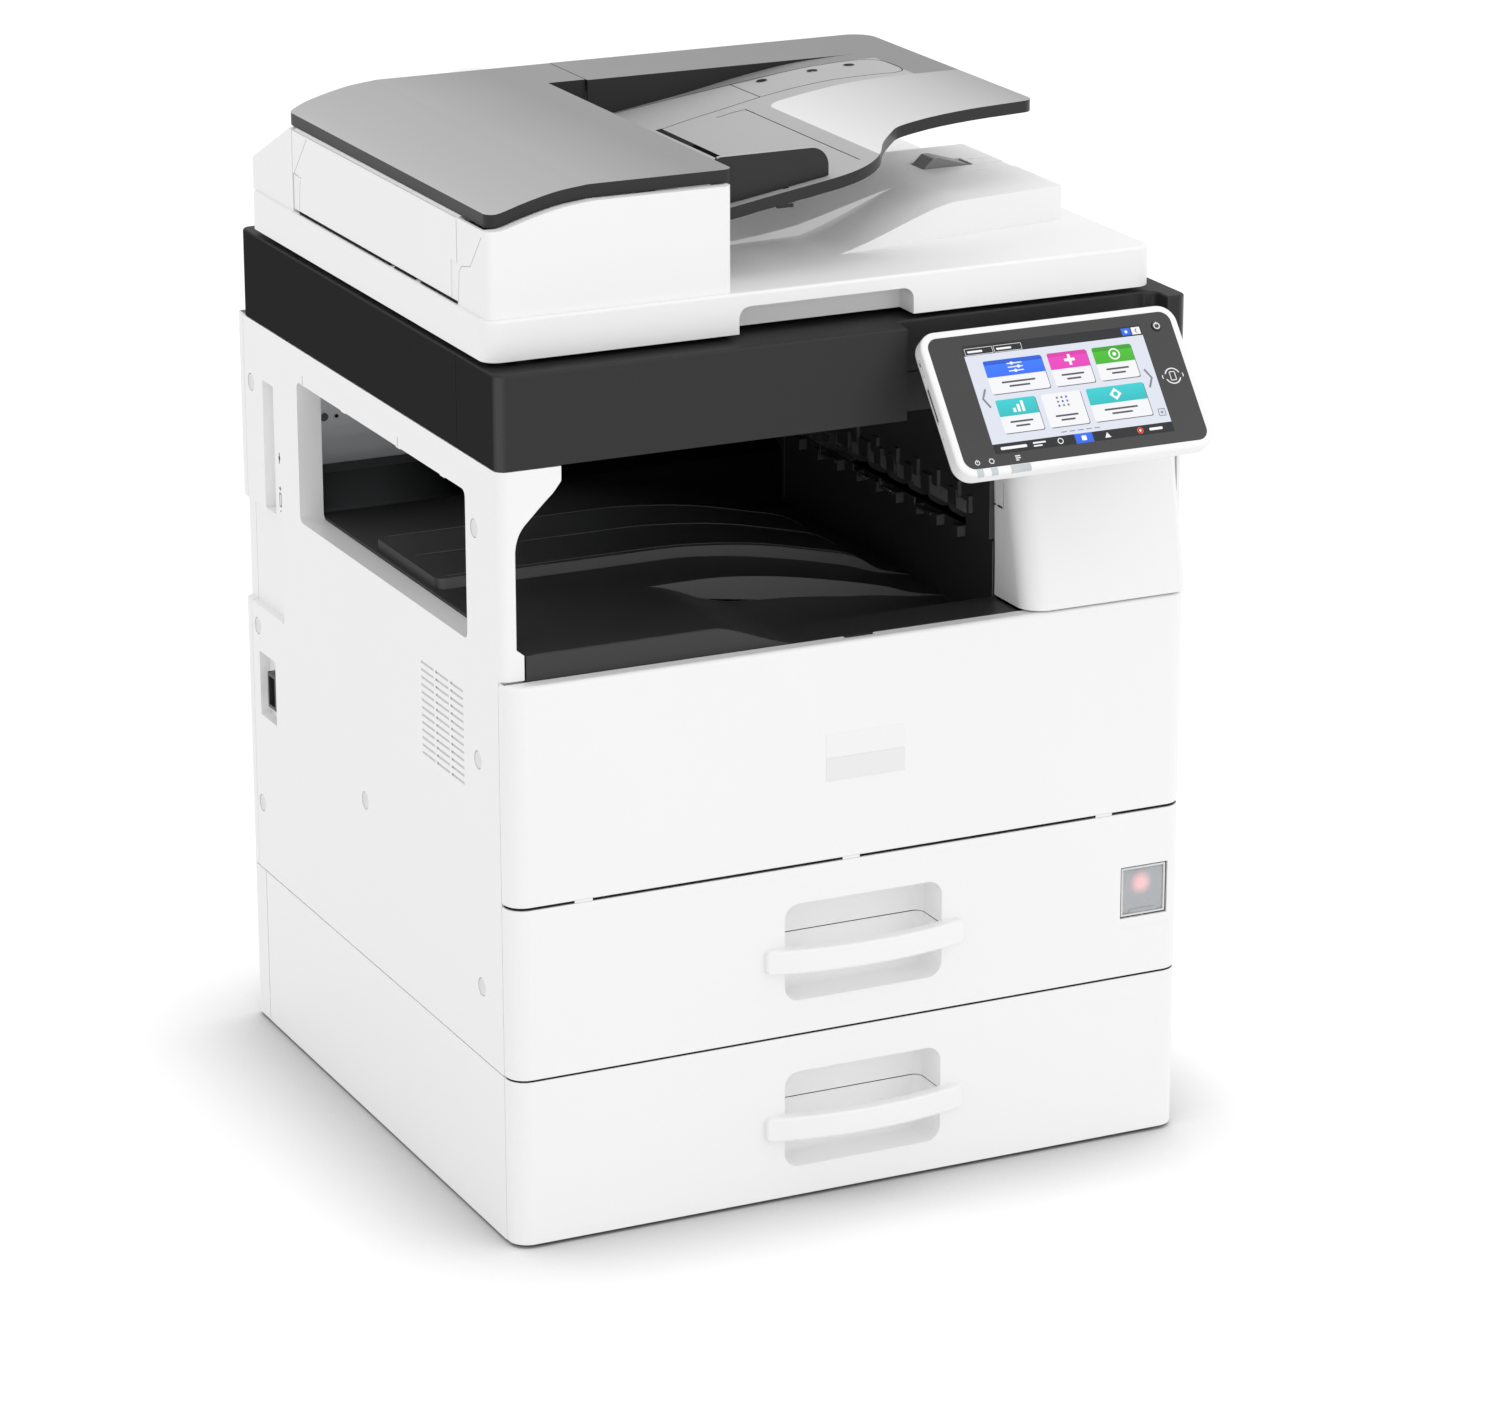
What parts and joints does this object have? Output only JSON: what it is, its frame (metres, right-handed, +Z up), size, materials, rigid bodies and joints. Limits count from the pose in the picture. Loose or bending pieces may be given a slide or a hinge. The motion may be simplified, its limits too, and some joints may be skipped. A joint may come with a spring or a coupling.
{
  "type": "photocopier",
  "caption": "Floor-standing office photocopier with paper drawers, side window over the exit tray, tilting touch panel and document feeder.",
  "frame": {"origin": "on the floor under the middle of the bounding box", "axes": "+X to the machine's right seen from the front, +Y to its back, +Z up; the front faces -Y"},
  "size_m": [0.587, 0.6474, 0.8277],
  "materials": {
    "white_cover": "fine satin moulding",
    "black_cover": "satin",
    "tray_black": "satin with fine grain",
    "rear_wall_grey": "satin",
    "zinc_sheet": "zinc plated sheet",
    "drawer_grey": "satin",
    "lift_steel": "plain sheet",
    "guide_plastic": "satin",
    "feeder_grey": "fine grain",
    "stopper_grey": "satin",
    "foot_rubber": "matt",
    "platen_glass": "polished",
    "rod_steel": "ground",
    "unit_black": "satin",
    "screw_white": "painted head",
    "roller_rubber": "matt",
    "drum_coat": "gloss coating",
    "fuser_coat": "gloss coating",
    "switch_white": "gloss",
    "flap_clear": "clear",
    "screen_glass": "gloss front glass",
    "key_white": "gloss",
    "pad_white": "matt foam"
  },
  "bodies": {
    "machine": {"feet": "foot_rubber", "base_plates": "zinc_sheet", "drawer_rails": "zinc_sheet", "frame_plates": "zinc_sheet", "frame_stays": "zinc_sheet", "lower_side_covers": "white_cover", "rear_covers": "white_cover", "left_cover": "white_cover", "right_covers": "white_cover", "exit_tray": "tray_black", "exit_rear_wall": "rear_wall_grey", "exit_unit": "tray_black", "pedestal": "white_cover", "scanner_housing": "black_cover", "scan_glass": "platen_glass", "scan_rods": "rod_steel", "power_inlet": "unit_black", "cover_screws": "screw_white", "hinge_blocks": "black_cover", "switch_housing": "switch_white", "laser_unit": "unit_black", "drum_housing": "unit_black", "fuser_housing": "unit_black"},
    "scan_carriage": {"scan_carriage": "unit_black"},
    "exit_rollers": {"exit_rollers": "roller_rubber"},
    "toner_bottle": {"toner_bottle": "unit_black"},
    "drum": {"drum": "drum_coat"},
    "transfer_roller": {"transfer_roller": "roller_rubber"},
    "fuser_roller": {"fuser_roller": "fuser_coat"},
    "pressure_roller": {"pressure_roller": "roller_rubber"},
    "lower_feed_roller": {"lower_feed_roller": "roller_rubber"},
    "upper_feed_roller": {"upper_feed_roller": "roller_rubber"},
    "switch_rocker": {"switch_rocker": "switch_white"},
    "switch_flap": {"switch_flap": "flap_clear"},
    "front_cover": {"front_cover": "white_cover"},
    "right_door": {"right_door": "white_cover"},
    "bypass_tray": {"bypass_tray": "white_cover"},
    "panel": {"panel_housing": "white_cover", "panel_screen": "screen_glass"},
    "sleep_key": {"sleep_key": "key_white"},
    "feeder": {"feeder_base": "white_cover", "feeder_body": "white_cover", "hopper_tray": "feeder_grey", "platen_pad": "pad_white"},
    "feeder_top": {"feeder_lid": "feeder_grey", "feeder_door": "white_cover"},
    "doc_feed_roller": {"doc_feed_roller": "roller_rubber"},
    "doc_guide": {"doc_guide": "feeder_grey"},
    "exit_stopper": {"exit_stopper": "stopper_grey"},
    "lower_drawer": {"lower_drawer_front": "white_cover", "lower_drawer_tray": "drawer_grey"},
    "lower_lift_plate": {"lower_lift_plate": "lift_steel"},
    "lower_front_guide": {"lower_front_guide": "guide_plastic"},
    "lower_rear_guide": {"lower_rear_guide": "guide_plastic"},
    "upper_drawer": {"upper_drawer_front": "white_cover", "upper_drawer_tray": "drawer_grey"},
    "upper_lift_plate": {"upper_lift_plate": "lift_steel"},
    "upper_front_guide": {"upper_front_guide": "guide_plastic"},
    "upper_rear_guide": {"upper_rear_guide": "guide_plastic"}
  },
  "joints": [
    {"name": "lower_drawer_slide", "type": "slide", "parent": "machine", "child": "lower_drawer", "axis": [0, -1, 0], "range_m": [0, 0.36]},
    {"name": "lower_lift_hinge", "type": "hinge", "parent": "lower_drawer", "child": "lower_lift_plate", "pos_m": [-0.15, 0.02645, 0.0225], "axis": [0, -1, 0], "range_deg": [0, 9]},
    {"name": "lower_front_guide_slide", "type": "slide", "parent": "lower_drawer", "child": "lower_front_guide", "axis": [0, 1, 0], "range_m": [0, 0.07]},
    {"name": "lower_rear_guide_slide", "type": "slide", "parent": "lower_drawer", "child": "lower_rear_guide", "axis": [0, 1, 0], "range_m": [-0.07, 0]},
    {"name": "lower_feed_spin", "type": "hinge", "parent": "machine", "child": "lower_feed_roller", "pos_m": [0.208, -0.04355, 0.113], "axis": [0, 1, 0], "continuous": true},
    {"name": "upper_drawer_slide", "type": "slide", "parent": "machine", "child": "upper_drawer", "axis": [0, -1, 0], "range_m": [0, 0.36]},
    {"name": "upper_lift_hinge", "type": "hinge", "parent": "upper_drawer", "child": "upper_lift_plate", "pos_m": [-0.15, 0.02645, 0.15975], "axis": [0, -1, 0], "range_deg": [0, 9]},
    {"name": "upper_front_guide_slide", "type": "slide", "parent": "upper_drawer", "child": "upper_front_guide", "axis": [0, 1, 0], "range_m": [0, 0.07]},
    {"name": "upper_rear_guide_slide", "type": "slide", "parent": "upper_drawer", "child": "upper_rear_guide", "axis": [0, 1, 0], "range_m": [-0.07, 0]},
    {"name": "upper_feed_spin", "type": "hinge", "parent": "machine", "child": "upper_feed_roller", "pos_m": [0.208, -0.04355, 0.25025], "axis": [0, 1, 0], "continuous": true},
    {"name": "front_cover_hinge", "type": "hinge", "parent": "machine", "child": "front_cover", "pos_m": [0, -0.23955, 0.2864], "axis": [1, 0, 0], "range_deg": [0, 90]},
    {"name": "right_door_hinge", "type": "hinge", "parent": "machine", "child": "right_door", "pos_m": [0.29, 0.22245, 0.299], "axis": [0, 0, 1], "range_deg": [0, 90]},
    {"name": "bypass_hinge", "type": "hinge", "parent": "right_door", "child": "bypass_tray", "pos_m": [0.29075, 0.02045, 0.25475], "axis": [0, 1, 0], "range_deg": [0, 72]},
    {"name": "panel_tilt", "type": "hinge", "parent": "machine", "child": "panel", "pos_m": [0.171, -0.25855, 0.632], "axis": [1, 0, 0], "range_deg": [0, 25]},
    {"name": "sleep_key_press", "type": "slide", "parent": "panel", "child": "sleep_key", "axis": [0, 0.7716, -0.6361], "range_m": [0, 0.001], "stiffness_N_per_m": 600},
    {"name": "feeder_hinge", "type": "hinge", "parent": "machine", "child": "feeder", "pos_m": [-0.025, 0.30045, 0.706], "axis": [-1, 0, 0], "range_deg": [0, 65]},
    {"name": "feeder_top_hinge", "type": "hinge", "parent": "feeder", "child": "feeder_top", "pos_m": [-0.284, 0.02445, 0.7393], "axis": [0, -1, 0], "range_deg": [0, 70]},
    {"name": "doc_feed_spin", "type": "hinge", "parent": "feeder", "child": "doc_feed_roller", "pos_m": [-0.14, 0.00545, 0.778], "axis": [0, 1, 0], "continuous": true},
    {"name": "doc_guide_slide", "type": "slide", "parent": "feeder", "child": "doc_guide", "axis": [0, 1, 0], "range_m": [0, 0.16]},
    {"name": "exit_stopper_hinge", "type": "hinge", "parent": "feeder", "child": "exit_stopper", "pos_m": [0.222, 0.01595, 0.7575], "axis": [0, 1, 0], "range_deg": [0, 60]},
    {"name": "carriage_slide", "type": "slide", "parent": "machine", "child": "scan_carriage", "axis": [1, 0, 0], "range_m": [0, 0.448]},
    {"name": "exit_rollers_spin", "type": "hinge", "parent": "machine", "child": "exit_rollers", "pos_m": [0.155, 0.00545, 0.515], "axis": [0, 1, 0], "continuous": true},
    {"name": "toner_spin", "type": "hinge", "parent": "machine", "child": "toner_bottle", "pos_m": [-0.03, -0.06955, 0.386], "axis": [0, 1, 0], "continuous": true},
    {"name": "drum_spin", "type": "hinge", "parent": "machine", "child": "drum", "pos_m": [0.222, 0.01745, 0.372], "axis": [0, 1, 0], "continuous": true},
    {"name": "transfer_spin", "type": "hinge", "parent": "machine", "child": "transfer_roller", "pos_m": [0.2454, 0.01745, 0.372], "axis": [0, 1, 0], "continuous": true},
    {"name": "fuser_spin", "type": "hinge", "parent": "machine", "child": "fuser_roller", "pos_m": [0.226, 0.01745, 0.432], "axis": [0, 1, 0], "continuous": true},
    {"name": "pressure_spin", "type": "hinge", "parent": "machine", "child": "pressure_roller", "pos_m": [0.2524, 0.01745, 0.432], "axis": [0, 1, 0], "continuous": true},
    {"name": "switch_rock", "type": "hinge", "parent": "machine", "child": "switch_rocker", "pos_m": [0.257, -0.22755, 0.211], "axis": [1, 0, 0], "range_deg": [-7, 7]},
    {"name": "switch_flap_hinge", "type": "hinge", "parent": "machine", "child": "switch_flap", "pos_m": [0.258, -0.24095, 0.2284], "axis": [-1, 0, 0], "range_deg": [0, 95]}
  ],
  "couplings": [
    {"joint": "transfer_spin", "follows": "drum_spin", "ratio": -1.875},
    {"joint": "pressure_spin", "follows": "fuser_spin", "ratio": -1},
    {"joint": "lower_rear_guide_slide", "follows": "lower_front_guide_slide", "ratio": -1},
    {"joint": "upper_rear_guide_slide", "follows": "upper_front_guide_slide", "ratio": -1}
  ]
}
